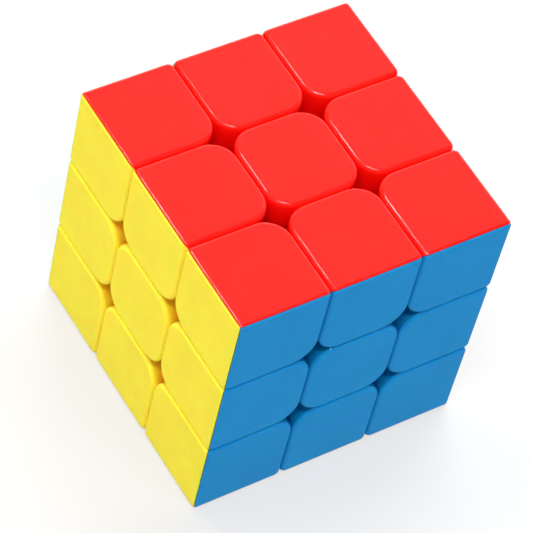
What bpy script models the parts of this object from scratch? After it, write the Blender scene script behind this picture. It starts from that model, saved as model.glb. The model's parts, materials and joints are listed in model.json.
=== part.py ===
"""Twisty puzzle cube: three layers a side, moulded in six colours without stickers.

The cube is taken apart into its real pieces. A six-armed core holds six tension screws; each
screw holds a spring and a centre base, and each base carries a snap-on centre cap. Twelve edges,
each of two half shells, hook under the centres with their feet, and eight corners hook under the
edges. Every part that meets a neighbour across a turning plane or across a turning sphere keeps
a running gap, so any of the six outer layers is free to turn.

The origin is the centre of the cube, where the three turning axes cross. +Z is the top face.
Each kind of piece is modelled once, in the octant or on the axis nearest +Z, and each copy is
placed by one of the rotations that map the cube onto itself.
"""

import itertools
import math

import bmesh
import bpy
from mathutils import Matrix, Vector

# The cube as a whole.
SIDE = 0.056
HALF = SIDE / 2
GAP = 0.0003
CUT = SIDE / 6
INNER_SIDE = CUT - GAP / 2
OUTER_SIDE = CUT + GAP / 2

# Rounding of the visible surface.
HOLE_RADIUS = 0.0050
FILLET = 0.0009
HOLE_FACETS = 3
FILLET_FACETS = 1
HOLLOW_FACETS = 1

# The two turning spheres, the feet between them, and the necks that join feet to shells.
WALL = 0.0015
SHELL_SPHERE = 0.0212
FOOT_SPHERE = 0.0205
FOOT_UNDERSIDE = 0.0158
FOOT_CUT = 0.0058
FOOT_NEAR = FOOT_CUT - GAP / 2
FOOT_FAR = FOOT_CUT + GAP / 2
NECK_INSET = 0.0002
NECK_BOTTOM = 0.0178
EDGE_SEAM = 0.0001
EDGE_FOOT_SEAM = 0.0002
EDGE_NECK_SEAM = 0.0003
NECK_TOP = SHELL_SPHERE + WALL / 2
SPHERE_STEPS = 6

# Pegs that plug the two halves of an edge together, and the vent of a corner.
PEG_RADIUS = 0.0010
PEG_CLEARANCE = 0.0002
PEG_REACH = 0.0016
PEG_OFFSET = 0.0030
PEG_DISTANCE = 0.0186
PEG_SIDES = 6
CORNER_NECK_RADIUS = 0.0029
CORNER_NECK_SIDES = 12
CORNER_VENT_RADIUS = 0.0018
CORNER_VENT_SIDES = 10

# Centre cap and centre base.
TRAY_FACETS = 2
CAP_BOTTOM = 0.0220
PLATE_TOP = CAP_BOTTOM - GAP
SPIGOT_HALF = INNER_SIDE - WALL - GAP
SPIGOT_TOP = 0.0250
TUBE_RADIUS = 0.0052
TUBE_BORE = 0.0037
TUBE_BOTTOM = 0.0113
TUBE_FLOOR = 0.0130
FLOOR_HOLE = 0.0016
TUBE_SIDES = 16
FLOOR_HOLE_SIDES = 8

# Core, tension screw and tension spring.
HUB_RADIUS = 0.0062
HUB_STEPS = 4
ARM_RADIUS = 0.0032
ARM_SIDES = 12
ARM_END = TUBE_BOTTOM - GAP
SCREW_RADIUS = 0.00125
SCREW_TIP = 0.0050
SCREW_HOLE_RADIUS = SCREW_RADIUS + GAP
SCREW_HOLE_END = SCREW_TIP - GAP
HEAD_RADIUS = 0.0031
HEAD_BOTTOM = 0.0185
HEAD_TOP = 0.0203
HEAD_SIDES = 16
SHANK_SIDES = 10
RECESS_WIDTH = 0.0008
RECESS_LENGTH = 0.0034
RECESS_DEPTH = 0.0011
SPRING_RADIUS = 0.0024
WIRE_RADIUS = 0.00035
SPRING_BOTTOM = TUBE_FLOOR + GAP
SPRING_TOP = HEAD_BOTTOM - GAP
SPRING_TURNS = 4
SPRING_STEPS = 8
WIRE_SIDES = 4

TOLERANCE = 1e-7
MERGE_DISTANCE = 1e-6
SMOOTH_ANGLE = math.radians(32)

X = Vector((1, 0, 0))
Y = Vector((0, 1, 0))
Z = Vector((0, 0, 1))

# The six faces and their outward axes.
FACES = {
    "top": Z,
    "bottom": -Z,
    "front": -Y,
    "back": Y,
    "right": X,
    "left": -X,
}

# Linear colours, roughness and metallic value of each finish.
FINISHES = {
    "top": ((0.93, 0.008, 0.004), 0.18, 0.0),
    "bottom": ((0.92, 0.14, 0.006), 0.18, 0.0),
    "front": ((0.003, 0.225, 0.51), 0.18, 0.0),
    "back": ((0.010, 0.36, 0.06), 0.18, 0.0),
    "right": ((0.82, 0.83, 0.82), 0.18, 0.0),
    "left": ((0.97, 0.745, 0.045), 0.18, 0.0),
    "core": ((0.035, 0.036, 0.040), 0.45, 0.0),
    "steel": ((0.62, 0.62, 0.60), 0.28, 1.0),
}


def clear_scene():
    """Remove every object of the open scene."""
    for thing in list(bpy.data.objects):
        bpy.data.objects.remove(thing, do_unlink=True)


def add_object(name, mesh):
    """Link a new object that shows the mesh."""
    thing = bpy.data.objects.new(name, mesh)
    bpy.context.collection.objects.link(thing)
    return thing


def object_from(shape, name="blank"):
    """Turn a bmesh into an object and free the bmesh."""
    bmesh.ops.recalc_face_normals(shape, faces=shape.faces[:])
    mesh = bpy.data.meshes.new(name)
    shape.to_mesh(mesh)
    shape.free()
    return add_object(name, mesh)


def merge_close_points(mesh):
    """Weld points that lie within a micrometre of each other."""
    shape = bmesh.new()
    shape.from_mesh(mesh)
    bmesh.ops.remove_doubles(shape, verts=shape.verts[:], dist=MERGE_DISTANCE)
    bmesh.ops.dissolve_degenerate(shape, dist=MERGE_DISTANCE, edges=shape.edges[:])
    shape.to_mesh(mesh)
    shape.free()


def combine(body, tool, operation):
    """Cut the tool from the body, join it on, or keep what the two share, and use the tool up."""
    modifier = body.modifiers.new("combine", "BOOLEAN")
    modifier.operation = operation
    modifier.solver = "EXACT"
    modifier.object = tool
    graph = bpy.context.evaluated_depsgraph_get()
    mesh = bpy.data.meshes.new_from_object(body.evaluated_get(graph))
    merge_close_points(mesh)
    body.modifiers.clear()
    body.data = mesh
    bpy.data.objects.remove(tool, do_unlink=True)
    return body


def keep_inside(shape, normal, distance):
    """Cut a convex shape by the plane normal . p = distance and close the cut."""
    if max(normal.dot(point.co) for point in shape.verts) < distance + TOLERANCE:
        return
    everything = shape.verts[:] + shape.edges[:] + shape.faces[:]
    cut = bmesh.ops.bisect_plane(
        shape,
        geom=everything,
        dist=TOLERANCE,
        plane_co=normal * distance,
        plane_no=normal,
        clear_outer=True,
    )
    rim = [part for part in cut["geom_cut"] if isinstance(part, bmesh.types.BMEdge)]
    bmesh.ops.edgeloop_fill(shape, edges=rim)


def convex_solid(planes):
    """Make the solid that lies behind every (normal, distance) plane."""
    shape = bmesh.new()
    bmesh.ops.create_cube(shape, size=4 * SIDE)
    for normal, distance in planes:
        keep_inside(shape, normal, distance)
    bmesh.ops.dissolve_degenerate(shape, dist=TOLERANCE, edges=shape.edges[:])
    return object_from(shape)


def facet_angles(count):
    """Directions, from 0 to 90 degrees, of the flats that stand for a quarter round."""
    return [math.pi / 2 * (step + 1) / (count + 1) for step in range(count)]


def round_between(first, second, radius, count):
    """Planes of a quarter round of this radius along the edge between two planes."""
    planes = []
    for angle in facet_angles(count):
        along = math.cos(angle)
        across = math.sin(angle)
        normal = first[0] * along + second[0] * across
        reach = along * (first[1] - radius) + across * (second[1] - radius) + radius
        planes.append((normal, reach))
    return planes


def outline_planes(sides, radii, counts):
    """Planes of a closed outline: its sides in turn, each followed by its rounded corner."""
    planes = []
    for index, side in enumerate(sides):
        following = sides[(index + 1) % len(sides)]
        planes.append(side)
        planes += round_between(side, following, radii[index], counts[index])
    return planes


def face_planes(axis, sides, radii, counts):
    """Planes of a cube face on this axis: the face, its outline and the fillet between them."""
    face = (axis, HALF)
    outline = outline_planes(sides, radii, counts)
    planes = [face] + outline
    for side in outline:
        planes += round_between(side, face, FILLET, FILLET_FACETS)
    return planes


def square_outline(half, radius, facets):
    """Outline of a square across the Z axis, with four equal rounded corners."""
    sides = [(X, half), (Y, half), (-X, half), (-Y, half)]
    return outline_planes(sides, [radius] * 4, [facets] * 4)


def ball(radius, steps=SPHERE_STEPS):
    """A sphere of square patches that is the same seen along all six axes."""
    shape = bmesh.new()
    bmesh.ops.create_cube(shape, size=2)
    bmesh.ops.subdivide_edges(
        shape, edges=shape.edges[:], cuts=steps - 1, use_grid_fill=True
    )
    for point in shape.verts:
        spread = [math.tan(value * math.pi / 4) for value in point.co]
        point.co = Vector(spread).normalized() * radius
    return object_from(shape)


def cylinder(radius, start, end, sides, direction=Z, offset=Vector()):
    """A round bar along a direction, from start to end measured from the offset point."""
    shape = bmesh.new()
    turn = direction.to_track_quat("Z", "Y").to_matrix().to_4x4()
    middle = Matrix.Translation(Z * (start + end) / 2)
    bmesh.ops.create_cone(
        shape,
        cap_ends=True,
        segments=sides,
        radius1=radius,
        radius2=radius,
        depth=end - start,
        matrix=Matrix.Translation(offset) @ turn @ middle,
    )
    return object_from(shape)


def hollow_shell(outer_planes, inner_planes, outward):
    """A moulded shell over the turning sphere, with a flat floor in its hollow."""
    shell = combine(convex_solid(outer_planes), ball(SHELL_SPHERE), "DIFFERENCE")
    hollow = convex_solid(inner_planes + [(-outward, -SHELL_SPHERE - WALL)])
    return combine(shell, hollow, "DIFFERENCE")


def add_foot(shell, neck, foot_planes, outward):
    """Join the hooking foot under the turning sphere to the shell above it, by its neck."""
    block = convex_solid(foot_planes + [(-outward, -FOOT_UNDERSIDE)])
    foot = combine(block, ball(FOOT_SPHERE), "INTERSECT")
    return combine(combine(shell, neck, "UNION"), foot, "UNION")


def finished_mesh(body, name):
    """Take the mesh from its working object, shade it and name it."""
    mesh = body.data
    mesh.name = name
    bpy.data.objects.remove(body, do_unlink=True)
    mesh.shade_smooth()
    mesh.set_sharp_from_angle(angle=SMOOTH_ANGLE)
    return mesh


def edge_face_planes(face_axis, mate_axis, inset):
    """One coloured face of the edge piece, or the same face moved inwards and left sharp."""
    sides = [
        (X, INNER_SIDE - inset),
        (mate_axis, HALF - inset),
        (-X, INNER_SIDE - inset),
        (-mate_axis, -OUTER_SIDE - inset),
    ]
    inner = HOLE_RADIUS - inset
    radii = [FILLET, FILLET, inner, inner]
    if inset:
        counts = [0, 0, HOLLOW_FACETS, HOLLOW_FACETS]
        return [(face_axis, HALF - inset)] + outline_planes(sides, radii, counts)
    counts = [FILLET_FACETS, FILLET_FACETS, HOLE_FACETS, HOLE_FACETS]
    return face_planes(face_axis, sides, radii, counts)


def edge_pegs(half, seam_normal, outward):
    """Give the half one peg and one socket, so that two equal halves plug together."""
    middle = outward * PEG_DISTANCE
    socket_radius = PEG_RADIUS + PEG_CLEARANCE
    socket_end = -PEG_REACH - PEG_CLEARANCE
    aside = X * PEG_OFFSET
    peg = cylinder(PEG_RADIUS, -PEG_REACH, PEG_REACH, PEG_SIDES, seam_normal, middle + aside)
    socket = cylinder(socket_radius, socket_end, PEG_REACH, PEG_SIDES, seam_normal, middle - aside)
    return combine(combine(half, socket, "DIFFERENCE"), peg, "UNION")


def edge_half_mesh():
    """Upper half of the edge between the +Y and +Z faces, split along the diagonal plane."""
    seam_normal = (Y - Z).normalized()
    outward = (Y + Z).normalized()
    outer = edge_face_planes(Z, Y, 0) + edge_face_planes(Y, Z, 0)
    outer.append((seam_normal, -EDGE_SEAM))
    inner = edge_face_planes(Z, Y, WALL) + edge_face_planes(Y, Z, WALL)
    foot = [(X, FOOT_NEAR), (-X, FOOT_NEAR), (-Y, -FOOT_FAR), (-Z, -FOOT_FAR)]
    foot.append((seam_normal, -EDGE_FOOT_SEAM))
    sides = edge_face_planes(Z, Y, NECK_INSET) + edge_face_planes(Y, Z, NECK_INSET)
    sides += [(X, FOOT_NEAR - NECK_INSET), (-X, FOOT_NEAR - NECK_INSET)]
    sides += [(outward, NECK_TOP), (-outward, -NECK_BOTTOM), (seam_normal, -EDGE_NECK_SEAM)]
    shell = hollow_shell(outer, inner, outward)
    half = add_foot(shell, convex_solid(sides), foot, outward)
    return finished_mesh(edge_pegs(half, seam_normal, outward), "edge_half")


def corner_face_planes(axis, first, second, inset):
    """One coloured face of the corner piece, or the same face moved inwards and left sharp."""
    sides = [
        (first, HALF - inset),
        (second, HALF - inset),
        (-first, -OUTER_SIDE - inset),
        (-second, -OUTER_SIDE - inset),
    ]
    radii = [FILLET, FILLET, HOLE_RADIUS - inset, FILLET]
    if inset:
        return [(axis, HALF - inset)] + outline_planes(sides, radii, [0, 0, HOLLOW_FACETS, 0])
    counts = [FILLET_FACETS, FILLET_FACETS, HOLE_FACETS, FILLET_FACETS]
    return face_planes(axis, sides, radii, counts)


def corner_mesh():
    """Corner between the +X, +Y and +Z faces, hollow, with a vent through its foot."""
    outer = []
    inner = []
    for axis, first, second in ((X, Y, Z), (Y, Z, X), (Z, X, Y)):
        outer += corner_face_planes(axis, first, second, 0)
        inner += corner_face_planes(axis, first, second, WALL)
    foot = [(-axis, -FOOT_FAR) for axis in (X, Y, Z)]
    outward = (X + Y + Z).normalized()
    neck = cylinder(CORNER_NECK_RADIUS, NECK_BOTTOM, NECK_TOP, CORNER_NECK_SIDES, outward)
    body = add_foot(hollow_shell(outer, inner, outward), neck, foot, outward)
    vent_start = FOOT_UNDERSIDE - WALL
    vent_end = SHELL_SPHERE + 3 * WALL
    vent = cylinder(CORNER_VENT_RADIUS, vent_start, vent_end, CORNER_VENT_SIDES, outward)
    return finished_mesh(combine(body, vent, "DIFFERENCE"), "corner")


def cap_mesh():
    """Snap-on cap of the top centre, a rounded square tray turned upside down."""
    sides = [(X, INNER_SIDE), (Y, INNER_SIDE), (-X, INNER_SIDE), (-Y, INNER_SIDE)]
    outer = face_planes(Z, sides, [HOLE_RADIUS] * 4, [HOLE_FACETS] * 4)
    cap = convex_solid(outer + [(-Z, -CAP_BOTTOM)])
    inner = square_outline(INNER_SIDE - WALL, HOLE_RADIUS - WALL, TRAY_FACETS)
    hollow = convex_solid(inner + [(Z, HALF - WALL), (-Z, -CAP_BOTTOM + WALL)])
    return finished_mesh(combine(cap, hollow, "DIFFERENCE"), "centre_cap")


def base_mesh():
    """Base of the top centre: a plate over the edge feet, a spigot for the cap and a tube."""
    outline = square_outline(INNER_SIDE, HOLE_RADIUS, HOLE_FACETS)
    plate = convex_solid(outline + [(Z, PLATE_TOP), (-Z, 0)])
    plate = combine(plate, ball(SHELL_SPHERE), "DIFFERENCE")
    spigot = convex_solid(
        square_outline(SPIGOT_HALF, HOLE_RADIUS - WALL - GAP, TRAY_FACETS)
        + [(Z, SPIGOT_TOP), (-Z, -PLATE_TOP + WALL / 2)]
    )
    pocket = convex_solid(
        square_outline(SPIGOT_HALF - WALL, HOLE_RADIUS - 2 * WALL, HOLLOW_FACETS)
        + [(Z, SPIGOT_TOP + WALL), (-Z, -PLATE_TOP)]
    )
    tube = cylinder(TUBE_RADIUS, TUBE_BOTTOM, PLATE_TOP - WALL / 4, TUBE_SIDES)
    bore = cylinder(TUBE_BORE, TUBE_FLOOR, SPIGOT_TOP, TUBE_SIDES)
    hole = cylinder(FLOOR_HOLE, TUBE_BOTTOM - WALL, TUBE_FLOOR + WALL, FLOOR_HOLE_SIDES)
    base = combine(combine(plate, spigot, "UNION"), tube, "UNION")
    for cutter in (pocket, bore, hole):
        base = combine(base, cutter, "DIFFERENCE")
    return finished_mesh(base, "centre_base")


def screw_mesh():
    """Tension screw of the top centre, with a cross recess in its pan head."""
    screw = cylinder(HEAD_RADIUS, HEAD_BOTTOM, HEAD_TOP, HEAD_SIDES)
    shank = cylinder(SCREW_RADIUS, SCREW_TIP, (HEAD_BOTTOM + HEAD_TOP) / 2, SHANK_SIDES)
    screw = combine(screw, shank, "UNION")
    for along, across in ((X, Y), (Y, X)):
        slot = convex_solid([
            (along, RECESS_LENGTH / 2),
            (-along, RECESS_LENGTH / 2),
            (across, RECESS_WIDTH / 2),
            (-across, RECESS_WIDTH / 2),
            (-Z, -HEAD_TOP + RECESS_DEPTH),
        ])
        screw = combine(screw, slot, "DIFFERENCE")
    return finished_mesh(screw, "tension_screw")


def spring_mesh():
    """Tension spring: a wire ring swept along a helix round the screw, with flat wire ends."""
    shape = bmesh.new()
    pitch = (SPRING_TOP - SPRING_BOTTOM - 2 * WIRE_RADIUS) / SPRING_TURNS
    rings = []
    for step in range(SPRING_TURNS * SPRING_STEPS + 1):
        turn = step / SPRING_STEPS
        angle = 2 * math.pi * turn
        outward = Vector((math.cos(angle), math.sin(angle), 0))
        middle = outward * SPRING_RADIUS + Z * (SPRING_BOTTOM + WIRE_RADIUS + pitch * turn)
        ring = []
        for side in range(WIRE_SIDES):
            around = 2 * math.pi * side / WIRE_SIDES
            offset = outward * math.cos(around) + Z * math.sin(around)
            ring.append(shape.verts.new(middle + offset * WIRE_RADIUS))
        rings.append(ring)
    for lower, upper in zip(rings, rings[1:]):
        for side in range(WIRE_SIDES):
            after = (side + 1) % WIRE_SIDES
            shape.faces.new((lower[side], lower[after], upper[after], upper[side]))
    shape.faces.new(rings[0])
    shape.faces.new(rings[-1])
    return finished_mesh(object_from(shape), "tension_spring")


def core_mesh():
    """Six-armed core with a blind pilot hole for a screw in the end of each arm."""
    core = ball(HUB_RADIUS, HUB_STEPS)
    for axis in (X, Y, Z):
        core = combine(core, cylinder(ARM_RADIUS, -ARM_END, ARM_END, ARM_SIDES, axis), "UNION")
    for axis in FACES.values():
        pilot = cylinder(SCREW_HOLE_RADIUS, SCREW_HOLE_END, ARM_END + WALL, SHANK_SIDES, axis)
        core = combine(core, pilot, "DIFFERENCE")
    return finished_mesh(core, "core")


def rotation(new_x, new_y, new_z):
    """Rotation that takes the X, Y and Z axes to these three directions."""
    return Matrix((new_x, new_y, new_z)).transposed().to_4x4()


def material(name, finish):
    """One Principled material with a named finish."""
    colour, roughness, metallic = FINISHES[finish]
    made = bpy.data.materials.new(name)
    made.use_nodes = True
    shader = made.node_tree.nodes["Principled BSDF"]
    shader.inputs["Base Color"].default_value = (*colour, 1)
    shader.inputs["Roughness"].default_value = roughness
    shader.inputs["Metallic"].default_value = metallic
    made.diffuse_color = (*colour, 1)
    return made


def place(name, mesh, turn, parent, finishes):
    """Put one copy of a piece in the cube, with its own materials, under its parent."""
    piece = add_object(name, mesh)
    for index, finish in enumerate(finishes):
        piece.material_slots[index].link = "OBJECT"
        piece.material_slots[index].material = material(f"{name}_{finish}", finish)
    piece.parent = parent
    piece.matrix_world = turn
    return piece


def add_slots(mesh, count):
    """Give the mesh empty material slots that each copy fills by itself."""
    for _ in range(count):
        mesh.materials.append(None)


def split_by_face(mesh):
    """Give each facet of the corner the slot of the cube face that its colour comes from."""
    for facet in mesh.polygons:
        middle = list(facet.center)
        facet.material_index = middle.index(max(middle))


def pivot(name, parent=None):
    """An empty at the cube's centre, which lies on every joint axis."""
    marker = bpy.data.objects.new(name, None)
    bpy.context.collection.objects.link(marker)
    marker.parent = parent
    return marker


def make_layers():
    """Empties of the fixed middle and of the two layers that turn about Z."""
    middle = pivot("middle_layer")
    return {
        "middle": middle,
        "top": pivot("top_layer", middle),
        "bottom": pivot("bottom_layer", middle),
    }


def layer_of(direction, layers):
    """The layer that a piece in this direction from the centre belongs to."""
    if direction.z > 0.5:
        return layers["top"]
    if direction.z < -0.5:
        return layers["bottom"]
    return layers["middle"]


def place_centres(layers):
    """Cap, base, screw and spring on each of the six axes."""
    cap = cap_mesh()
    base = base_mesh()
    screw = screw_mesh()
    spring = spring_mesh()
    for mesh in (cap, base, screw, spring):
        add_slots(mesh, 1)
    for face, axis in FACES.items():
        new_x = Vector((axis.y, axis.z, axis.x))
        turn = rotation(new_x, axis.cross(new_x), axis)
        floating = pivot(f"{face}_centre_float", layer_of(axis, layers))
        place(f"centre_cap_{face}", cap, turn, floating, [face])
        place(f"centre_base_{face}", base, turn, floating, [face])
        place(f"tension_screw_{face}", screw, turn, layers["middle"], ["steel"])
        place(f"tension_spring_{face}", spring, turn, layers["middle"], ["steel"])


def place_edges(layers):
    """Two half shells on each of the twelve edges, each in the colour of its own face."""
    half = edge_half_mesh()
    add_slots(half, 1)
    for face, mate in itertools.permutations(FACES, 2):
        axis = FACES[face]
        other = FACES[mate]
        if axis.dot(other) == 0:
            turn = rotation(other.cross(axis), other, axis)
            layer = layer_of(axis + other, layers)
            place(f"edge_shell_{face}_{mate}", half, turn, layer, [face])


def place_corners(layers):
    """One three-coloured corner at each of the eight vertices."""
    corner = corner_mesh()
    add_slots(corner, 3)
    split_by_face(corner)
    for height, depth, width in itertools.product(
        ("top", "bottom"), ("front", "back"), ("right", "left")
    ):
        names = [width, depth, height]
        if FACES[width].cross(FACES[depth]).dot(FACES[height]) < 0:
            names = [depth, width, height]
        axes = [FACES[name] for name in names]
        layer = layer_of(sum(axes, Vector()), layers)
        place(f"corner_{height}_{depth}_{width}", corner, rotation(*axes), layer, names)


def main():
    """Build the whole cube."""
    clear_scene()
    layers = make_layers()
    core = core_mesh()
    add_slots(core, 1)
    place("core", core, Matrix(), layers["middle"], ["core"])
    place_centres(layers)
    place_edges(layers)
    place_corners(layers)


main()
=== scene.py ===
"""Looks of a stickerless twisty cube: its moulded shells, its mechanism and their plastics.

Every piece is rebuilt at full smoothness in the place of its CAD node and rides on that node's
body. Shapes are worked out in millimetres about the cube's centre and turned into metres last.
Each kind of piece is modelled once: on the +Z axis, between the +Y and +Z faces or between the
+X, +Y and +Z faces. Every copy is turned into its place by a rotation that maps the cube onto
itself.
"""

import itertools
import json
import math

import bmesh
import bpy
from mathutils import Matrix, Vector


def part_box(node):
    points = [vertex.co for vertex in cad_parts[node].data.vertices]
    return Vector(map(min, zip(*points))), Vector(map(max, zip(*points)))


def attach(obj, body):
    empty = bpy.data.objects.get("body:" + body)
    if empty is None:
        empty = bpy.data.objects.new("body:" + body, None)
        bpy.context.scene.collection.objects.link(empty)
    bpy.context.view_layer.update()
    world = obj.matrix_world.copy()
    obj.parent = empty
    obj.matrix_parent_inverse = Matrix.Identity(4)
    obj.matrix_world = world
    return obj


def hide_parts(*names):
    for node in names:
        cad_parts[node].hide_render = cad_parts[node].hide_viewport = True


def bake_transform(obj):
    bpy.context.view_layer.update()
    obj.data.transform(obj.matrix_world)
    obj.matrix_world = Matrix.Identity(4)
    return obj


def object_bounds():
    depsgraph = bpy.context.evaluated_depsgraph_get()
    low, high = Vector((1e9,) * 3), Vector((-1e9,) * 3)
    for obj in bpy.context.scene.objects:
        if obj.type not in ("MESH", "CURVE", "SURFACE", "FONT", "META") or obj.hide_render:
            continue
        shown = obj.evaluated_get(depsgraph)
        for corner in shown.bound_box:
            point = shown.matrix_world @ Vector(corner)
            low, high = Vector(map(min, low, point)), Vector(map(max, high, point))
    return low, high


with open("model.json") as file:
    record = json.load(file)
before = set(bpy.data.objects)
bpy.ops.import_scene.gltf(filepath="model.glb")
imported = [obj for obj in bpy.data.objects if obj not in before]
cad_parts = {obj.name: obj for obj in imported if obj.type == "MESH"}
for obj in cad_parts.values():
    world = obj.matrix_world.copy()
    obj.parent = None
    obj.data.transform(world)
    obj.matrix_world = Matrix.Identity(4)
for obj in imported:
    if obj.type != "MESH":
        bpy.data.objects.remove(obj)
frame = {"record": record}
CAD_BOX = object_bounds()
METRE = 0.001
MM = 1 / METRE

X = Vector((1, 0, 0))
Y = Vector((0, 1, 0))
Z = Vector((0, 0, 1))

FACES = {
    "top": Z,
    "bottom": -Z,
    "front": -Y,
    "back": Y,
    "right": X,
    "left": -X,
}


def corner_of(node, which):
    """One corner of a CAD node's box, in millimetres: 0 is the lowest and 1 the highest."""
    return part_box(node)[which] * MM


# Places that the frame gives, in millimetres.
HALF = CAD_BOX[1].z * MM
CUT = HALF / 3
INNER_SIDE = corner_of("centre_cap_top", 1).x
OUTER_SIDE = 2 * CUT - INNER_SIDE
GAP = OUTER_SIDE - INNER_SIDE
CAP_BOTTOM = corner_of("centre_cap_top", 0).z
TUBE_BOTTOM = corner_of("centre_base_top", 0).z
SPIGOT_TOP = corner_of("centre_base_top", 1).z
SCREW_TIP = corner_of("tension_screw_top", 0).z
HEAD_TOP = corner_of("tension_screw_top", 1).z
HEAD_RADIUS = corner_of("tension_screw_top", 1).x
SPRING_BOTTOM = corner_of("tension_spring_top", 0).z
SPRING_TOP = corner_of("tension_spring_top", 1).z
ARM_END = corner_of("core", 1).z

# The shells close the running gap down to this where they meet at the surface.
SHELL_GAP = 0.12
SHELL_INNER = CUT - SHELL_GAP / 2
SHELL_OUTER = CUT + SHELL_GAP / 2

# Rounding of the visible surface, and the number of flats that each rounding is made of.
HOLE_RADIUS = 5.0
FILLET = 0.9
PLATE_CORNER = 1.25
LIP = 0.06
HOLE_STEPS = 11
SIDE_STEPS = 4
FILLET_STEPS = 5
HOLLOW_STEPS = 4
SMALL_STEPS = 2

# How far a tool that cuts stands out past what it cuts.
OVERCUT = 1.0

# Turning spheres, shell walls, feet and necks.
WALL = 1.5
SHELL_SPHERE = 21.2
FOOT_SPHERE = 20.5
FOOT_UNDERSIDE = 15.8
FOOT_CUT = 5.8
FOOT_NEAR = FOOT_CUT - GAP / 2
FOOT_FAR = FOOT_CUT + GAP / 2
FOOT_ROUND = 0.4
NECK_BOTTOM = 17.8
NECK_INSET = 0.2
NECK_TOP = SHELL_SPHERE + WALL / 2
SPHERE_STEPS = 18
SEAM = 0.06
FOOT_SEAM = 0.05
NECK_SEAM = 0.1

# The corner's inner plug: a stem through the three shells, held by a flange inside them.
STEM_RADIUS = 2.8
STEM_HOLE = 2.9
STEM_FLANGE = 3.8
STEM_TAPER = 0.2
STEM_VENT = 1.8
FLANGE_CLEARANCE = 0.1
FLANGE_EDGE = 0.5
FLANGE_HEIGHT = 1.2
FLANGE_BOTTOM = SHELL_SPHERE + WALL + FLANGE_CLEARANCE
FLANGE_TOP = FLANGE_BOTTOM + FLANGE_HEIGHT
ROUND_SIDES = 48

# Pegs that plug the two halves of an edge together.
PEG_RADIUS = 1.0
PEG_CLEARANCE = 0.05
PEG_REACH = 1.6
PEG_OFFSET = 3.0
PEG_DISTANCE = 18.6
PEG_SIDES = 20

# Centre cap and centre base.
SPIGOT_HALF = INNER_SIDE - WALL - GAP
SPIGOT_ROUND = 0.3
PLATE_TOP = CAP_BOTTOM - GAP
TUBE_RADIUS = 5.2
TUBE_BORE = 3.7
TUBE_FLOOR = 13.0
FLOOR_HOLE = 1.6

# Tension screw: its shank ends inside the head, and has no thread above PLAIN_SHANK.
SCREW_RADIUS = 1.25
HEAD_BOTTOM = 18.5
SHANK_OVERLAP = 0.4
PLAIN_LENGTH = 4.6
PLAIN_SHANK = HEAD_BOTTOM - PLAIN_LENGTH
THREAD_ROOT = 0.95
THREAD_PITCH = 0.7
THREAD_SIDES = 24
THREAD_ROWS = 6
TIP_LENGTH = 1.6
TIP_START = 0.4
RECESS_WIDTH = 0.8
RECESS_LENGTH = 3.4
RECESS_DEPTH = 1.1

# Outline of the pan head: share of its radius, and height over its underside.
HEAD_HEIGHT = HEAD_TOP - HEAD_BOTTOM
HEAD_EDGE = 0.15
HEAD_OUTLINE = (
    (1.0, HEAD_EDGE),
    (1.0, 0.75),
    (0.95, 1.15),
    (0.84, HEAD_HEIGHT - 0.25),
    (0.66, HEAD_HEIGHT - 0.06),
    (0.45, HEAD_HEIGHT),
)

# Core.
HUB_RADIUS = 6.2
HUB_STEPS = 12
ARM_RADIUS = 3.2
ARM_BEVEL = 0.3
PILOT_RADIUS = SCREW_RADIUS + 0.1
PILOT_END = SCREW_TIP - 0.3
PILOT_SIDES = 24

# Tension spring. Its wire lies closed up for part of a turn at each end.
WIRE_RADIUS = 0.35
WIRE_SIDES = 10
SPRING_RADIUS = 2.4
SPRING_TURNS = 6
SPRING_STEPS = 40
CLOSED_TURN = 0.75
END_HEIGHT = 4 * CLOSED_TURN * WIRE_RADIUS

TOLERANCE = 1e-4
MERGE_DISTANCE = 1e-3
SHARP_ANGLE = math.radians(32)


def add_object(name, data):
    """Link a new object made from this mesh, lamp or camera."""
    thing = bpy.data.objects.new(name, data)
    bpy.context.scene.collection.objects.link(thing)
    return thing


def object_from(shape, name="blank"):
    """Turn a bmesh into an object and free the bmesh."""
    bmesh.ops.recalc_face_normals(shape, faces=shape.faces[:])
    mesh = bpy.data.meshes.new(name)
    shape.to_mesh(mesh)
    shape.free()
    return add_object(name, mesh)


def merge_close_points(mesh):
    """Weld points that lie within a micrometre of each other."""
    shape = bmesh.new()
    shape.from_mesh(mesh)
    bmesh.ops.remove_doubles(shape, verts=shape.verts[:], dist=MERGE_DISTANCE)
    bmesh.ops.dissolve_degenerate(shape, dist=MERGE_DISTANCE, edges=shape.edges[:])
    shape.to_mesh(mesh)
    shape.free()


def combine(body, tool, operation):
    """Cut the tool from the body, join it on, or keep what the two share, and use the tool up."""
    modifier = body.modifiers.new("combine", "BOOLEAN")
    modifier.operation = operation
    modifier.solver = "EXACT"
    modifier.object = tool
    graph = bpy.context.evaluated_depsgraph_get()
    mesh = bpy.data.meshes.new_from_object(body.evaluated_get(graph))
    merge_close_points(mesh)
    body.modifiers.clear()
    body.data = mesh
    bpy.data.objects.remove(tool, do_unlink=True)
    return body


def keep_inside(shape, normal, distance):
    """Cut a convex shape by the plane normal . p = distance and close the cut."""
    if max(normal.dot(point.co) for point in shape.verts) < distance + TOLERANCE:
        return
    everything = shape.verts[:] + shape.edges[:] + shape.faces[:]
    cut = bmesh.ops.bisect_plane(
        shape,
        geom=everything,
        dist=TOLERANCE,
        plane_co=normal * distance,
        plane_no=normal,
        clear_outer=True,
    )
    rim = [part for part in cut["geom_cut"] if isinstance(part, bmesh.types.BMEdge)]
    bmesh.ops.edgeloop_fill(shape, edges=rim)


def convex_solid(planes):
    """Make the solid that lies behind every (normal, distance) plane."""
    shape = bmesh.new()
    bmesh.ops.create_cube(shape, size=8 * HALF)
    for normal, distance in planes:
        keep_inside(shape, normal, distance)
    bmesh.ops.dissolve_degenerate(shape, dist=TOLERANCE, edges=shape.edges[:])
    return object_from(shape)


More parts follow.
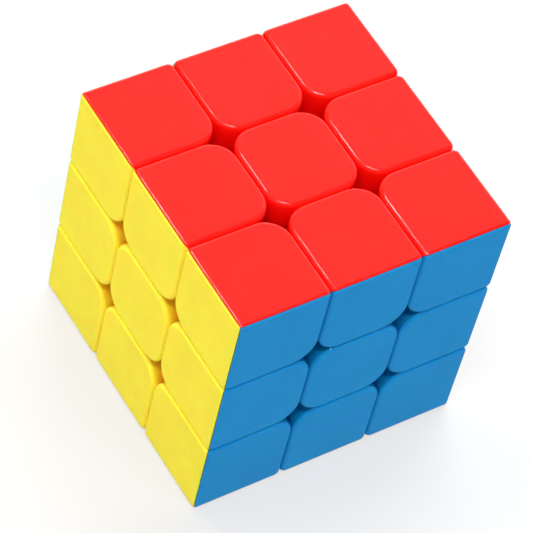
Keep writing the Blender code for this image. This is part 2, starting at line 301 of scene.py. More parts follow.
def round_between(first, second, radius, count):
    """Planes of a quarter round of this radius along the edge between two planes."""
    planes = []
    for step in range(count):
        angle = math.pi / 2 * (step + 1) / (count + 1)
        along = math.cos(angle)
        across = math.sin(angle)
        normal = first[0] * along + second[0] * across
        reach = along * (first[1] - radius) + across * (second[1] - radius) + radius
        planes.append((normal, reach))
    return planes


def outline_planes(sides, radii, counts):
    """Planes of a closed outline: its sides in turn, each followed by its rounded corner."""
    planes = []
    for index, side in enumerate(sides):
        following = sides[(index + 1) % len(sides)]
        planes.append(side)
        planes += round_between(side, following, radii[index], counts[index])
    return planes


def rimmed(face, outline, radius, count):
    """Planes of a face, its outline and the rounding between them."""
    planes = [face] + outline
    for side in outline:
        planes += round_between(side, face, radius, count)
    return planes


def square_outline(half, radius, steps):
    """Outline of a square across the Z axis, with four equal rounded corners."""
    sides = [(X, half), (Y, half), (-X, half), (-Y, half)]
    return outline_planes(sides, [radius] * 4, [steps] * 4)


def ball(radius, steps=SPHERE_STEPS):
    """A sphere of square patches that is the same seen along all six axes."""
    shape = bmesh.new()
    bmesh.ops.create_cube(shape, size=2)
    bmesh.ops.subdivide_edges(shape, edges=shape.edges[:], cuts=steps - 1, use_grid_fill=True)
    for point in shape.verts:
        spread = [math.tan(value * math.pi / 4) for value in point.co]
        point.co = Vector(spread).normalized() * radius
    return object_from(shape)


def pointed(direction, offset):
    """Transform that turns +Z to a direction and then moves by the offset."""
    return Matrix.Translation(offset) @ direction.to_track_quat("Z", "Y").to_matrix().to_4x4()


def turned(profile, sides, direction=Z, offset=Vector()):
    """A body of revolution from (radius, height) points that start and end on the axis."""
    shape = bmesh.new()
    turn = pointed(direction, offset)
    rings = []
    for radius, height in profile:
        if radius == 0:
            rings.append([shape.verts.new(turn @ Vector((0, 0, height)))])
            continue
        ring = []
        for side in range(sides):
            angle = 2 * math.pi * side / sides
            point = Vector((radius * math.cos(angle), radius * math.sin(angle), height))
            ring.append(shape.verts.new(turn @ point))
        rings.append(ring)
    for lower, upper in zip(rings, rings[1:]):
        for side in range(sides):
            after = (side + 1) % sides
            corners = [lower[side % len(lower)], lower[after % len(lower)]]
            corners += [upper[after % len(upper)], upper[side % len(upper)]]
            shape.faces.new(list(dict.fromkeys(corners)))
    return object_from(shape)


def cylinder(radius, start, end, sides=ROUND_SIDES, direction=Z, offset=Vector()):
    """A round bar along a direction, from start to end measured from the offset point."""
    profile = [(0, start), (radius, start), (radius, end), (0, end)]
    return turned(profile, sides, direction, offset)


def hollow_shell(outer_planes, inner_planes):
    """A moulded shell over the turning sphere, with an even wall all round its hollow."""
    shell = combine(convex_solid(outer_planes), ball(SHELL_SPHERE), "DIFFERENCE")
    hollow = combine(convex_solid(inner_planes), ball(SHELL_SPHERE + WALL), "DIFFERENCE")
    return combine(shell, hollow, "DIFFERENCE")


def foot_block(planes, outward):
    """The hooking foot: a block between its flanks, rounded by the foot sphere."""
    block = convex_solid(planes + [(-outward, -FOOT_UNDERSIDE)])
    return combine(block, ball(FOOT_SPHERE), "INTERSECT")


def finished_mesh(body, name):
    """Take the mesh from its working object, shade it, scale it to metres and name it."""
    mesh = body.data
    mesh.name = name
    bpy.data.objects.remove(body, do_unlink=True)
    mesh.transform(Matrix.Scale(METRE, 4))
    mesh.shade_smooth()
    mesh.set_sharp_from_angle(angle=SHARP_ANGLE)
    return mesh


def plate_planes(axis, sides, radii, steps):
    """Planes of one coloured plate: its face, its rounded outline and the fillet round it."""
    return rimmed((axis, HALF), outline_planes(sides, radii, steps), FILLET, FILLET_STEPS)


def plain_planes(axis, sides, holes, inset):
    """Planes of a face moved inwards and left sharp, except for the corners at the holes."""
    moved = [(normal, distance - inset) for normal, distance in sides]
    radii = [HOLE_RADIUS - inset if hole else 0 for hole in holes]
    steps = [HOLLOW_STEPS if hole else 0 for hole in holes]
    return [(axis, HALF - inset)] + outline_planes(moved, radii, steps)


def lip_plane(mate_axis):
    """Plane that breaks the thin edge where a plate meets its neighbour on the cube's edge."""
    return (mate_axis, HALF - FILLET * (1 - math.sqrt(0.5)) - LIP)


def edge_sides(mate_axis):
    """Sides of one face of the edge piece; its hole corners come after the third and fourth."""
    return [(X, SHELL_INNER), (mate_axis, HALF), (-X, SHELL_INNER), (-mate_axis, -SHELL_OUTER)]


EDGE_HOLES = [False, False, True, True]


def edge_solid_planes(inset):
    """Both faces of the edge piece moved inwards."""
    upper = plain_planes(Z, edge_sides(Y), EDGE_HOLES, inset)
    return upper + plain_planes(Y, edge_sides(Z), EDGE_HOLES, inset)


def edge_pegs(half, seam_normal, outward):
    """Give the half one peg and one socket, so that two equal halves plug together."""
    middle = outward * PEG_DISTANCE
    aside = X * PEG_OFFSET
    socket = cylinder(
        PEG_RADIUS + PEG_CLEARANCE,
        -PEG_REACH - PEG_CLEARANCE,
        PEG_REACH,
        PEG_SIDES,
        seam_normal,
        middle - aside,
    )
    peg = cylinder(PEG_RADIUS, -PEG_REACH, PEG_REACH, PEG_SIDES, seam_normal, middle + aside)
    return combine(combine(half, socket, "DIFFERENCE"), peg, "UNION")


def edge_half_mesh():
    """Upper half of the edge between the +Y and +Z faces, split along the diagonal plane."""
    seam_normal = (Y - Z).normalized()
    outward = (Y + Z).normalized()
    radii = [PLATE_CORNER, PLATE_CORNER, HOLE_RADIUS, HOLE_RADIUS]
    steps = [SIDE_STEPS, SIDE_STEPS, HOLE_STEPS, HOLE_STEPS]
    outer = plate_planes(Z, edge_sides(Y), radii, steps)
    outer += edge_solid_planes(0) + [lip_plane(Y), (seam_normal, -SEAM)]
    inner = edge_solid_planes(WALL) + [(seam_normal, -SEAM - WALL / 2)]
    flanks = [(X, FOOT_NEAR), (-X, FOOT_NEAR), (-Y, -FOOT_FAR), (-Z, -FOOT_FAR)]
    flanks += round_between(flanks[0], flanks[3], FOOT_ROUND, SMALL_STEPS)
    flanks += round_between(flanks[1], flanks[3], FOOT_ROUND, SMALL_STEPS)
    flanks.append((seam_normal, -FOOT_SEAM))
    neck = edge_solid_planes(NECK_INSET)
    neck += [(X, FOOT_NEAR - NECK_INSET), (-X, FOOT_NEAR - NECK_INSET)]
    neck += [(outward, NECK_TOP), (-outward, -NECK_BOTTOM), (seam_normal, -NECK_SEAM)]
    half = combine(hollow_shell(outer, inner), convex_solid(neck), "UNION")
    half = combine(half, foot_block(flanks, outward), "UNION")
    return finished_mesh(edge_pegs(half, seam_normal, outward), "edge_half")


def corner_sides(first, second):
    """Sides of one face of the corner piece; its hole corner comes after the third."""
    return [(first, HALF), (second, HALF), (-first, -SHELL_OUTER), (-second, -SHELL_OUTER)]


CORNER_HOLES = [False, False, True, False]


def corner_solid_planes(inset):
    """All three faces of the corner piece moved inwards."""
    planes = []
    for axis, first, second in ((X, Y, Z), (Y, Z, X), (Z, X, Y)):
        planes += plain_planes(axis, corner_sides(first, second), CORNER_HOLES, inset)
    return planes


def corner_shell_mesh():
    """Upper of the three coloured shells of the corner between the +X, +Y and +Z faces."""
    radii = [FILLET, PLATE_CORNER, HOLE_RADIUS, PLATE_CORNER]
    steps = [SIDE_STEPS, SIDE_STEPS, HOLE_STEPS, SIDE_STEPS]
    outer = plate_planes(Z, corner_sides(X, Y), radii, steps)
    outer += corner_solid_planes(0)
    inner = corner_solid_planes(WALL)
    for axis in (X, Y):
        outer += [lip_plane(axis), ((axis - Z).normalized(), -SEAM)]
        inner.append(((axis - Z).normalized(), -SEAM - WALL / 2))
    shell = hollow_shell(outer, inner)
    outward = (X + Y + Z).normalized()
    hole = cylinder(STEM_HOLE, SHELL_SPHERE - WALL, 2 * HALF, ROUND_SIDES, outward)
    keep = convex_solid([(outward, FLANGE_TOP + OVERCUT), (-outward, -SHELL_SPHERE + WALL)])
    hole = combine(hole, keep, "INTERSECT")
    return finished_mesh(combine(shell, hole, "DIFFERENCE"), "corner_shell")


def corner_plug_mesh():
    """Inner piece of a corner: its hooking foot, and the stem that the three shells clip on."""
    outward = (X + Y + Z).normalized()
    sides = [(-axis, -FOOT_FAR) for axis in (X, Y, Z)]
    flanks = list(sides)
    for index in range(3):
        flanks += round_between(sides[index], sides[(index + 1) % 3], FOOT_ROUND, SMALL_STEPS)
    foot = foot_block(flanks, outward)
    profile = [
        (0, NECK_BOTTOM),
        (STEM_RADIUS, NECK_BOTTOM),
        (STEM_RADIUS, FLANGE_BOTTOM),
        (STEM_FLANGE, FLANGE_BOTTOM),
        (STEM_FLANGE, FLANGE_BOTTOM + FLANGE_EDGE),
        (STEM_RADIUS - STEM_TAPER, FLANGE_TOP),
        (0, FLANGE_TOP),
    ]
    plug = combine(foot, turned(profile, ROUND_SIDES, outward), "UNION")
    start = FOOT_UNDERSIDE - WALL
    vent = cylinder(STEM_VENT, start, FLANGE_TOP + OVERCUT, ROUND_SIDES, outward)
    return finished_mesh(combine(plug, vent, "DIFFERENCE"), "corner_plug")


def cap_mesh():
    """Snap-on cap of the top centre: a rounded tray turned upside down."""
    outline = square_outline(SHELL_INNER, HOLE_RADIUS, HOLE_STEPS)
    outer = rimmed((Z, HALF), outline, FILLET, FILLET_STEPS)
    cap = convex_solid(outer + [(-Z, -CAP_BOTTOM)])
    inner = square_outline(INNER_SIDE - WALL, HOLE_RADIUS - WALL, HOLE_STEPS)
    hollow = convex_solid(inner + [(Z, HALF - WALL), (-Z, -CAP_BOTTOM + WALL)])
    return finished_mesh(combine(cap, hollow, "DIFFERENCE"), "centre_cap")


def base_mesh():
    """Base of the top centre: a plate over the edge feet, a spigot for the cap and a tube."""
    outline = square_outline(INNER_SIDE, HOLE_RADIUS, HOLE_STEPS)
    plate = convex_solid(outline + [(Z, PLATE_TOP), (-Z, 0)])
    plate = combine(plate, ball(SHELL_SPHERE), "DIFFERENCE")
    outline = square_outline(SPIGOT_HALF, HOLE_RADIUS - WALL - GAP, HOLE_STEPS)
    planes = rimmed((Z, SPIGOT_TOP), outline, SPIGOT_ROUND, SMALL_STEPS)
    spigot = convex_solid(planes + [(-Z, -PLATE_TOP + WALL / 2)])
    outline = square_outline(SPIGOT_HALF - WALL, HOLE_RADIUS - 2 * WALL, HOLLOW_STEPS)
    pocket = convex_solid(outline + [(Z, SPIGOT_TOP + WALL), (-Z, -PLATE_TOP)])
    tube = cylinder(TUBE_RADIUS, TUBE_BOTTOM, PLATE_TOP - WALL / 4)
    bore = cylinder(TUBE_BORE, TUBE_FLOOR, SPIGOT_TOP)
    hole = cylinder(FLOOR_HOLE, TUBE_BOTTOM - WALL, TUBE_FLOOR + WALL)
    base = combine(combine(plate, spigot, "UNION"), tube, "UNION")
    for cutter in (pocket, bore, hole):
        base = combine(base, cutter, "DIFFERENCE")
    return finished_mesh(base, "centre_base")


def thread_radius(level, share):
    """Radius of the shank at a share of the way up one pitch of thread that starts at a level."""
    crest = max(0.0, 1 - abs(share - 0.5) * 4)
    radius = THREAD_ROOT + (SCREW_RADIUS - THREAD_ROOT) * crest
    if level > PLAIN_SHANK:
        radius = SCREW_RADIUS
    height = level + share * THREAD_PITCH - SCREW_TIP
    return radius * min(1.0, (height + TIP_START) / TIP_LENGTH)


def threaded_shank():
    """The screw's shank: columns one pitch high, wound up a spiral and closed at the tip."""
    shape = bmesh.new()
    turns = int((HEAD_BOTTOM + SHANK_OVERLAP - SCREW_TIP) / THREAD_PITCH)
    columns = []
    for step in range(turns * THREAD_SIDES + 1):
        angle = 2 * math.pi * step / THREAD_SIDES
        level = SCREW_TIP + THREAD_PITCH * step / THREAD_SIDES
        column = []
        for row in range(THREAD_ROWS):
            share = row / THREAD_ROWS
            radius = thread_radius(level, share)
            height = level + share * THREAD_PITCH
            point = (radius * math.cos(angle), radius * math.sin(angle), height)
            column.append(shape.verts.new(point))
        columns.append(column)
    for here, there in zip(columns, columns[1:]):
        for row in range(THREAD_ROWS - 1):
            shape.faces.new((here[row], there[row], there[row + 1], here[row + 1]))
    for index in range(len(columns) - THREAD_SIDES - 1):
        above = index + THREAD_SIDES
        lower = (columns[index][-1], columns[index + 1][-1])
        shape.faces.new((*lower, columns[above + 1][0], columns[above][0]))
    tip = shape.verts.new((0, 0, SCREW_TIP))
    for index in range(THREAD_SIDES):
        shape.faces.new((columns[index][0], tip, columns[index + 1][0]))
    return object_from(shape)


def screw_head():
    """Pan head of the tension screw, with a cross recess."""
    profile = [(0, HEAD_BOTTOM), (HEAD_RADIUS - HEAD_EDGE, HEAD_BOTTOM)]
    profile += [(HEAD_RADIUS * share, HEAD_BOTTOM + height) for share, height in HEAD_OUTLINE]
    profile.append((0, HEAD_TOP))
    head = turned(profile, ROUND_SIDES)
    for along, across in ((X, Y), (Y, X)):
        slot = convex_solid([
            (along, RECESS_LENGTH / 2),
            (-along, RECESS_LENGTH / 2),
            (across, RECESS_WIDTH / 2),
            (-across, RECESS_WIDTH / 2),
            (-Z, -HEAD_TOP + RECESS_DEPTH),
        ])
        head = combine(head, slot, "DIFFERENCE")
    return head


def joined(parts, name):
    """One mesh from several working objects that only touch."""
    shape = bmesh.new()
    for part in parts:
        shape.from_mesh(part.data)
        bpy.data.objects.remove(part, do_unlink=True)
    return finished_mesh(object_from(shape), name)


def wire_height(turn):
    """Height of the middle of the spring's wire after so many turns."""
    low = SPRING_BOTTOM + WIRE_RADIUS
    high = SPRING_TOP - WIRE_RADIUS
    if turn > SPRING_TURNS - CLOSED_TURN:
        return high - 2 * WIRE_RADIUS * (SPRING_TURNS - turn)
    closed = 2 * WIRE_RADIUS * min(turn, CLOSED_TURN)
    share = max(0.0, (turn - CLOSED_TURN) / (SPRING_TURNS - 2 * CLOSED_TURN))
    return low + closed + (high - low - END_HEIGHT) * share


def spring_mesh():
    """Tension spring: round wire on a helix, its end turns closed up and ground flat."""
    shape = bmesh.new()
    rings = []
    for step in range(SPRING_TURNS * SPRING_STEPS + 1):
        turn = step / SPRING_STEPS
        angle = 2 * math.pi * turn
        outward = Vector((math.cos(angle), math.sin(angle), 0))
        middle = outward * SPRING_RADIUS + Z * wire_height(turn)
        ring = []
        for side in range(WIRE_SIDES):
            around = 2 * math.pi * side / WIRE_SIDES
            point = middle + (outward * math.cos(around) + Z * math.sin(around)) * WIRE_RADIUS
            point.z = min(max(point.z, SPRING_BOTTOM), SPRING_TOP)
            ring.append(shape.verts.new(point))
        rings.append(ring)
    for lower, upper in zip(rings, rings[1:]):
        for side in range(WIRE_SIDES):
            after = (side + 1) % WIRE_SIDES
            shape.faces.new((lower[side], lower[after], upper[after], upper[side]))
    shape.faces.new(rings[0])
    shape.faces.new(rings[-1])
    return finished_mesh(object_from(shape), "tension_spring")


def core_mesh():
    """Six-armed core with a pilot hole for a screw in the end of each arm."""
    core = ball(HUB_RADIUS, HUB_STEPS)
    arm = [
        (0, 0),
        (ARM_RADIUS, 0),
        (ARM_RADIUS, ARM_END - ARM_BEVEL),
        (ARM_RADIUS - ARM_BEVEL, ARM_END),
        (0, ARM_END),
    ]
    for axis in FACES.values():
        core = combine(core, turned(arm, ROUND_SIDES, axis), "UNION")
    for axis in FACES.values():
        pilot = cylinder(PILOT_RADIUS, PILOT_END, ARM_END + WALL, PILOT_SIDES, axis)
        core = combine(core, pilot, "DIFFERENCE")
    return finished_mesh(core, "core")


def rotation(new_x, new_y, new_z):
    """Rotation that takes the X, Y and Z axes to these three directions."""
    return Matrix((new_x, new_y, new_z)).transposed().to_4x4()


def body_of_node(node):
    """The body that carries a CAD node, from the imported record."""
    for name, nodes in frame["record"]["behaviour"]["bodies"].items():
        if node in nodes:
            return name
    raise LookupError(node)


# Linear colour of each face's plastic, and of the plastic inside.
COLOURS = {
    "top": (0.93, 0.008, 0.004),
    "bottom": (0.92, 0.14, 0.006),
    "front": (0.003, 0.225, 0.51),
    "back": (0.010, 0.36, 0.06),
    "right": (0.82, 0.83, 0.82),
    "left": (0.97, 0.745, 0.045),
    "core": (0.035, 0.036, 0.040),
}
# Colour painted on the side walls of the warm, slightly translucent plastics below the faces: a
# painted tint of the light that scatters through them and bounces about in the recesses.
PAINTED_RECESS_TINTS = {
    "top": (0.93, 0.004, 0.002),
    "bottom": (0.92, 0.095, 0.003),
    "left": (0.99, 0.50, 0.008),
}
# Depths below the cube's faces between which that painted tint of light sets in, in millimetres.
RECESS_TINT_START = 0.5
RECESS_TINT_END = 3.0

SLOTS = {
    "top": "red_plastic",
    "bottom": "orange_plastic",
    "front": "blue_plastic",
    "back": "green_plastic",
    "right": "white_plastic",
    "left": "yellow_plastic",
    "core": "core_plastic",
    "screw": "screw_steel",
    "spring": "spring_steel",
}

# Noises over the pieces: scale per metre, detail and roughness.
NOISES = {
    "cloud": (110, 4.0, 0.55),
    "grain": (2600, 2.0, 0.6),
    "ripple": (420, 2.0, 0.4),
    "smudge": (60, 5.0, 0.62),
    "tarnish": (700, 5.0, 0.65),
    "scratch": (5200, 3.0, 0.7),
}
# Stretches of a noise that are spread over the whole of what it drives.
WIDE = (0.3, 0.7)
UPPER = (0.35, 0.7)

# Moulded plastic: roughness where clean and where smudged, and gloss.
FACE_ROUGHNESS = (0.13, 0.19)
FACE_GLOSS = 0.5
CORE_ROUGHNESS = (0.42, 0.55)
CORE_GLOSS = 0.4
PLASTIC_IOR = 1.5

# Pigment where it is thinnest and thickest, as factors on the colour.
PIGMENT = (0.96, 1.03)

# Handling and painted sheen: how much of the rounded edges is lightened, partly as rubbing and
# partly as a painted highlight, how far that lightens their colour, and how much polishing
# smooths them.
RUB_AND_SHEEN = (0.05, 0.35)
RUB_AND_SHEEN_LIFT = 0.02
EDGE_POLISH = 0.09

# Relief of the plastic: how far the grain counts beside the ripple, its strength and its depth.
GRAIN_SHARE = 0.25
PLASTIC_RELIEF = 0.12
PLASTIC_RELIEF_DEPTH = 0.04 * METRE

# Light that wanders inside the faces' plastic before it comes out again.
TRANSLUCENCY = 0.6
SCATTER_DEPTH = 2.5 * METRE
LEAST_SCATTER = 0.05

# Largest part of the normal where a flat ends and where the rounding counts in full.
FLAT_END = 0.985
FULLY_ROUND = 0.80

# Plated steel: colours, roughness where bright and where dull, tarnish and relief.
SCREW_COLOUR = (0.62, 0.61, 0.58)
SCREW_ROUGHNESS = (0.2, 0.42)
SPRING_COLOUR = (0.55, 0.56, 0.58)
SPRING_ROUGHNESS = (0.16, 0.34)
TARNISH = (0.72, 1.1)
STEEL_RELIEF = 0.25
STEEL_RELIEF_DEPTH = 0.03 * METRE


class Graph:
    """Small helper that adds and wires a material's shader nodes."""

    def __init__(self, name):
        self.material = bpy.data.materials.new(name)
        self.material.use_nodes = True
        self.tree = self.material.node_tree

    def feed(self, socket, value):
        """Set a socket to a value, or link an output to it."""
        if isinstance(value, bpy.types.NodeSocket):
            self.tree.links.new(value, socket)
        else:
            socket.default_value = value

    def feed_named(self, node, inputs):
        """Feed inputs of a node by name."""
        for name, value in inputs.items():
            self.feed(node.inputs[name.replace("_", " ")], value)

    def node(self, kind, **inputs):
        """Output of a new node with these inputs."""
        made = self.tree.nodes.new(kind)
        self.feed_named(made, inputs)
        return made.outputs[0]

    def surface(self, **inputs):
        """Feed the material's shader."""
        self.feed_named(self.tree.nodes["Principled BSDF"], inputs)

    def maths(self, operation, *values):
        """Output of a Math node."""
        made = self.tree.nodes.new("ShaderNodeMath")
        made.operation = operation
        for socket, value in zip(made.inputs, values):
            self.feed(socket, value)
        return made.outputs[0]

    def blend(self, factor, first, second):
        """Output of a colour mix."""
        made = self.tree.nodes.new("ShaderNodeMix")
        made.data_type = "RGBA"
        self.feed(made.inputs[0], factor)
        self.feed(made.inputs[6], first)
        self.feed(made.inputs[7], second)
        return made.outputs[2]

    def spread(self, value, span, to_low=0.0, to_high=1.0):
        """Output of a Map Range node that takes the span to the range from to_low to to_high."""
        made = self.tree.nodes.new("ShaderNodeMapRange")
        for socket, given in zip(made.inputs, (value, *span, to_low, to_high)):
            self.feed(socket, given)
        return made.outputs[0]

    def place(self, kind):
        """The piece's own coordinates: its place in the cube, or its normal."""
        node = self.tree.nodes.get("Texture Coordinate")
        if node is None:
            node = self.tree.nodes.new("ShaderNodeTexCoord")
        return node.outputs[kind]

    def noise(self, name):
        """Height of one of the noises over the piece."""
        scale, detail, roughness = NOISES[name]
        return self.node(
            "ShaderNodeTexNoise",
            Vector=self.place("Object"),
            Scale=scale,
            Detail=detail,
            Roughness=roughness,
        )

    def largest_part(self, vector):
        """Size of the largest of a vector's three parts."""
        parts = self.tree.nodes.new("ShaderNodeSeparateXYZ")
        self.feed(parts.inputs[0], vector)
        sizes = [self.maths("ABSOLUTE", output) for output in parts.outputs]
        return self.maths("MAXIMUM", self.maths("MAXIMUM", sizes[0], sizes[1]), sizes[2])

    def depth(self, start, end):
        """0 at the faces of the cube, rising to 1 from start to end millimetres below them."""
        span = ((HALF - start) * METRE, (HALF - end) * METRE)
        return self.spread(self.largest_part(self.place("Object")), span)

    def rounding(self):
        """1 where the surface is rounded between two faces of the cube, and 0 on the flats."""
        return self.spread(self.largest_part(self.place("Normal")), (FLAT_END, FULLY_ROUND))

    def relief(self, strength, distance, height):
        """Normal of a surface with this fine relief."""
        return self.node("ShaderNodeBump", Strength=strength, Distance=distance, Height=height)


def shade(colour, factor):
    """The colour made lighter or darker, as four values."""
    return (*[min(1.0, value * factor) for value in colour], 1)


def moulded_plastic(name, colour, recess_tint, roughness, gloss, translucency):
    """Moulded plastic: faint clouding of the pigment, fine texture, handled edges lightened as
    wear and as painted highlight, and a painted tint of light on the side walls.
    """
    graph = Graph(name)
    smudge = graph.noise("smudge")
    edge = graph.rounding()
    dark, light = [shade(colour, factor) for factor in PIGMENT]
    base = graph.blend(graph.spread(graph.noise("cloud"), WIDE), dark, light)
    # Rubbed wear and painted highlight: the rounded edges are lightened in patches.
    rub_and_sheen = graph.maths("MULTIPLY", edge, graph.spread(smudge, UPPER, *RUB_AND_SHEEN))
    lifted = [value + (1 - value) * RUB_AND_SHEEN_LIFT for value in colour]
    base = graph.blend(rub_and_sheen, base, (*lifted, 1))
    # Painted tint of light: the side walls below the faces take the deeper colour of light
    # scattered and bounced in the recesses.
    base = graph.blend(graph.depth(RECESS_TINT_START, RECESS_TINT_END), base, (*recess_tint, 1))
    dull = graph.spread(smudge, WIDE, *roughness)
    polish = graph.maths("MULTIPLY", edge, EDGE_POLISH)
    grain = graph.maths("MULTIPLY", graph.noise("grain"), GRAIN_SHARE)
    height = graph.maths("ADD", grain, graph.noise("ripple"))
    graph.surface(
        Base_Color=base,
        Roughness=graph.maths("SUBTRACT", dull, polish),
        Normal=graph.relief(PLASTIC_RELIEF, PLASTIC_RELIEF_DEPTH, height),
        Specular_IOR_Level=gloss,
        IOR=PLASTIC_IOR,
        Subsurface_Weight=translucency,
        Subsurface_Radius=[LEAST_SCATTER + value * value for value in recess_tint],
        Subsurface_Scale=SCATTER_DEPTH,
    )
    return graph.material


def plated_steel(name, colour, roughness):
    """Plated steel: uneven dulling, fine scratches and darker spots."""
    graph = Graph(name)
    tarnish = graph.noise("tarnish")
    dark, light = [shade(colour, factor) for factor in TARNISH]
    graph.surface(
        Base_Color=graph.blend(graph.spread(tarnish, UPPER), dark, light),
        Roughness=graph.spread(tarnish, WIDE, *roughness),
        Normal=graph.relief(STEEL_RELIEF, STEEL_RELIEF_DEPTH, graph.noise("scratch")),
        Metallic=1,
    )
    return graph.material


def make_materials():
    """All finishes by name."""
    made = {}
    for face in FACES:
        slot = SLOTS[face]
        colour = COLOURS[face]
        # Painted tint of light for the recesses; the face's own colour where none is painted.
        recess_tint = PAINTED_RECESS_TINTS.get(face, colour)
        made[face] = moulded_plastic(slot, colour, recess_tint, FACE_ROUGHNESS, FACE_GLOSS, TRANSLUCENCY)
    colour = COLOURS["core"]
    made["core"] = moulded_plastic(SLOTS["core"], colour, colour, CORE_ROUGHNESS, CORE_GLOSS, 0.0)
    made["screw"] = plated_steel(SLOTS["screw"], SCREW_COLOUR, SCREW_ROUGHNESS)
    made["spring"] = plated_steel(SLOTS["spring"], SPRING_COLOUR, SPRING_ROUGHNESS)
    return made


MATERIALS = make_materials()


def copy_of(name, mesh, turn, node, finish):
    """One copy of a piece, turned into its place in the cube, to stand for a CAD node."""
    copy = mesh.copy()
    copy.name = name
    copy.transform(turn)
    copy.materials.clear()
    copy.materials.append(MATERIALS[finish])
    piece = add_object(name, copy)
    normals = piece.modifiers.new("normals", "WEIGHTED_NORMAL")
    normals.keep_sharp = True
    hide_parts(node)
    return piece


def place(name, mesh, turn, node, finish):
    """Put one copy of a piece in the cube, on the body of the CAD node that it stands for."""
    piece = copy_of(name, mesh, turn, node, finish)
    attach(piece, body_of_node(node))


def place_spring(mesh, turn, face):
    """A spring turned into its place, standing for its CAD node; it is put on no body and stays
    where it is placed.
    """
    node = f"tension_spring_{face}"
    piece = copy_of(f"look_{node}", mesh, turn, node, "spring")
    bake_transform(piece)


def place_centres():
    """Cap, base, screw and spring on each of the six axes."""
    cap = cap_mesh()
    base = base_mesh()
    screw = joined([screw_head(), threaded_shank()], "tension_screw")
    spring = spring_mesh()
    for face, axis in FACES.items():
        new_x = Vector((axis.y, axis.z, axis.x))
        turn = rotation(new_x, axis.cross(new_x), axis)
        place(f"look_centre_cap_{face}", cap, turn, f"centre_cap_{face}", face)
        place(f"look_centre_base_{face}", base, turn, f"centre_base_{face}", face)
        place(f"look_tension_screw_{face}", screw, turn, f"tension_screw_{face}", "screw")
        place_spring(spring, turn, face)


def place_edges():
    """Two half shells on each of the twelve edges, each in the colour of its own face."""
    half = edge_half_mesh()
    for face, mate in itertools.permutations(FACES, 2):
        axis = FACES[face]
        other = FACES[mate]
        if axis.dot(other) == 0:
            turn = rotation(other.cross(axis), other, axis)
            name = f"edge_shell_{face}_{mate}"
            place(f"look_{name}", half, turn, name, face)


def place_corners():
    """Three coloured shells round a dark plug at each of the eight vertices."""
    shell = corner_shell_mesh()
    plug = corner_plug_mesh()
    for height, depth, width in itertools.product(
        ("top", "bottom"), ("front", "back"), ("right", "left")
    ):
        names = [width, depth, height]
        if FACES[width].cross(FACES[depth]).dot(FACES[height]) < 0:
            names = [depth, width, height]
        axes = [FACES[name] for name in names]
        node = f"corner_{height}_{depth}_{width}"
        place(f"look_{node}_plug", plug, rotation(*axes), node, "core")
        for index, face in enumerate(names):
            turn = rotation(axes[index - 2], axes[index - 1], axes[index])
            place(f"look_{node}_{face}", shell, turn, node, face)


# The camera, in millimetres about the cube's centre.
CAMERA_PLACE = Vector((-237.0, -258.0, 438.2))
CAMERA_FORWARD = Vector((0.41999, 0.45759, -0.78372))
CAMERA_UP = Vector((0.32234, 0.73205, 0.60016))
CAMERA_LENS = 208.74
SENSOR_WIDTH = 36
NEAREST_SEEN = 10 * METRE

# The floor, its size in metres.
FLOOR_SIZE = 4.0
FLOOR_CELLS = 8
FLOOR_COLOUR = (0.26, 0.26, 0.26, 1)
FLOOR_ROUGHNESS = 0.9
FLOOR_GLOW = 0.54
WHITE = (1, 1, 1, 1)

# Brightness of the surround against the height that it is seen at: 0 is level, 1 overhead.
SURROUND = ((0.0, 2.4), (0.15, 2.0), (0.40, 1.2), (0.80, 1.2))

# Way to the pale backdrop, how far round it fades from its middle to its edge, as the cosine of
# the angle, and how dark the rest of the room is against it.
BACKDROP = Vector((0.68, 0.74, 0.0))
BACKDROP_EDGE = 0.45
BACKDROP_MIDDLE = 0.95
BACKDROP_LEVEL = 1.0
ROOM_LEVEL = 0.065

# Soft boxes: direction from the cube, distance, width and height in metres, power in watts, and
# whether the gloss of the plastic shows them.
SOFT_BOXES = {
    "overhead": (Vector((0.40, 0.38, 1.0)), 1.2, 0.7, 0.7, 12.0, False),
    "key": (Vector((-0.27, -0.23, 0.93)), 1.1, 0.56, 0.09, 8.4, True),
    "rear_key": (Vector((-0.20, 0.46, 0.87)), 1.1, 0.13, 0.13, 2.6, True),
    "fill": (Vector((-0.72, -0.28, 0.60)), 1.1, 0.6, 0.6, 1.6, False),
    "left_side": (Vector((-0.84, 0.42, 0.16)), 0.9, 0.5, 0.5, 3.9, False),
    "right_side": (Vector((0.36, -0.90, 0.24)), 0.9, 0.5, 0.5, 4.6, False),
}


def make_camera():
    """Camera at the photograph's viewing angle."""
    camera = add_object("camera", bpy.data.cameras.new("camera"))
    back = -CAMERA_FORWARD.normalized()
    right = CAMERA_UP.cross(back).normalized()
    up = back.cross(right)
    camera.matrix_world = Matrix.Translation(CAMERA_PLACE * METRE) @ rotation(right, up, back)
    camera.data.lens = CAMERA_LENS
    camera.data.sensor_width = SENSOR_WIDTH
    camera.data.clip_start = NEAREST_SEEN
    bpy.context.scene.camera = camera


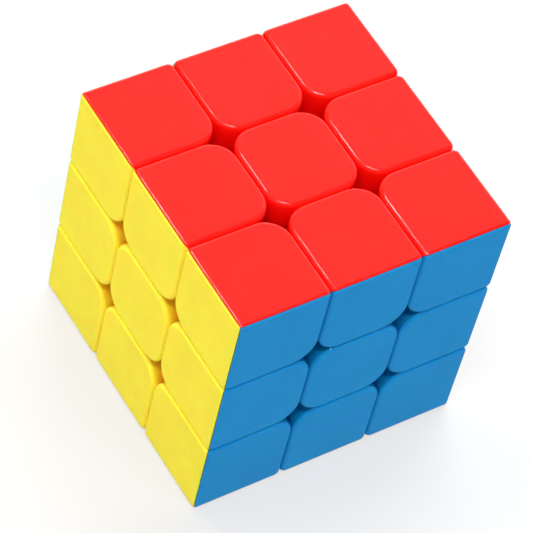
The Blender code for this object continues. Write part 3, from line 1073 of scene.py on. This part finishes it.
def make_floor():
    """Plain pale floor under the cube, which its gloss doesn't show."""
    shape = bmesh.new()
    cells = FLOOR_CELLS
    bmesh.ops.create_grid(shape, x_segments=cells, y_segments=cells, size=FLOOR_SIZE / 2)
    floor = object_from(shape, "floor")
    floor.location.z = -HALF * METRE
    graph = Graph("floor")
    graph.surface(
        Base_Color=FLOOR_COLOUR,
        Roughness=FLOOR_ROUGHNESS,
        Specular_IOR_Level=0.0,
        Emission_Color=WHITE,
        Emission_Strength=FLOOR_GLOW,
    )
    floor.visible_glossy = False
    floor.data.materials.append(graph.material)


def make_surround():
    """Dim room with a pale backdrop behind the cube, both graded by height."""
    world = bpy.data.worlds.new("studio")
    world.use_nodes = True
    nodes = world.node_tree.nodes
    links = world.node_tree.links
    background = nodes["Background"]
    direction = nodes.new("ShaderNodeTexCoord").outputs["Generated"]

    parts = nodes.new("ShaderNodeSeparateXYZ")
    ramp = nodes.new("ShaderNodeValToRGB")
    marks = ramp.color_ramp.elements
    while len(marks) < len(SURROUND):
        marks.new(1.0)
    for mark, (height, level) in zip(marks, SURROUND):
        mark.position = height
        mark.color = (level, level, level, 1)
    links.new(direction, parts.inputs[0])
    links.new(parts.outputs["Z"], ramp.inputs[0])
    links.new(ramp.outputs["Color"], background.inputs["Color"])

    facing = nodes.new("ShaderNodeVectorMath")
    facing.operation = "DOT_PRODUCT"
    facing.inputs[1].default_value = BACKDROP
    strength = nodes.new("ShaderNodeMapRange")
    strength.inputs["From Min"].default_value = BACKDROP_EDGE
    strength.inputs["From Max"].default_value = BACKDROP_MIDDLE
    strength.inputs["To Min"].default_value = ROOM_LEVEL
    strength.inputs["To Max"].default_value = BACKDROP_LEVEL
    links.new(direction, facing.inputs[0])
    links.new(facing.outputs["Value"], strength.inputs["Value"])
    links.new(strength.outputs[0], background.inputs["Strength"])
    bpy.context.scene.world = world


def make_soft_boxes():
    """Soft boxes round the cube, all aimed at its centre."""
    for name, (direction, distance, width, height, power, seen) in SOFT_BOXES.items():
        lamp = bpy.data.lights.new(name, "AREA")
        lamp.shape = "RECTANGLE"
        lamp.size = width
        lamp.size_y = height
        lamp.energy = power
        box = add_object(name, lamp)
        box.visible_glossy = seen
        aim = direction.normalized()
        box.matrix_world = pointed(aim, aim * distance)


place("look_core", core_mesh(), Matrix(), "core", "core")
place_centres()
place_edges()
place_corners()
make_camera()
make_floor()
make_surround()
make_soft_boxes()
bpy.context.scene.view_settings.view_transform = "Standard"
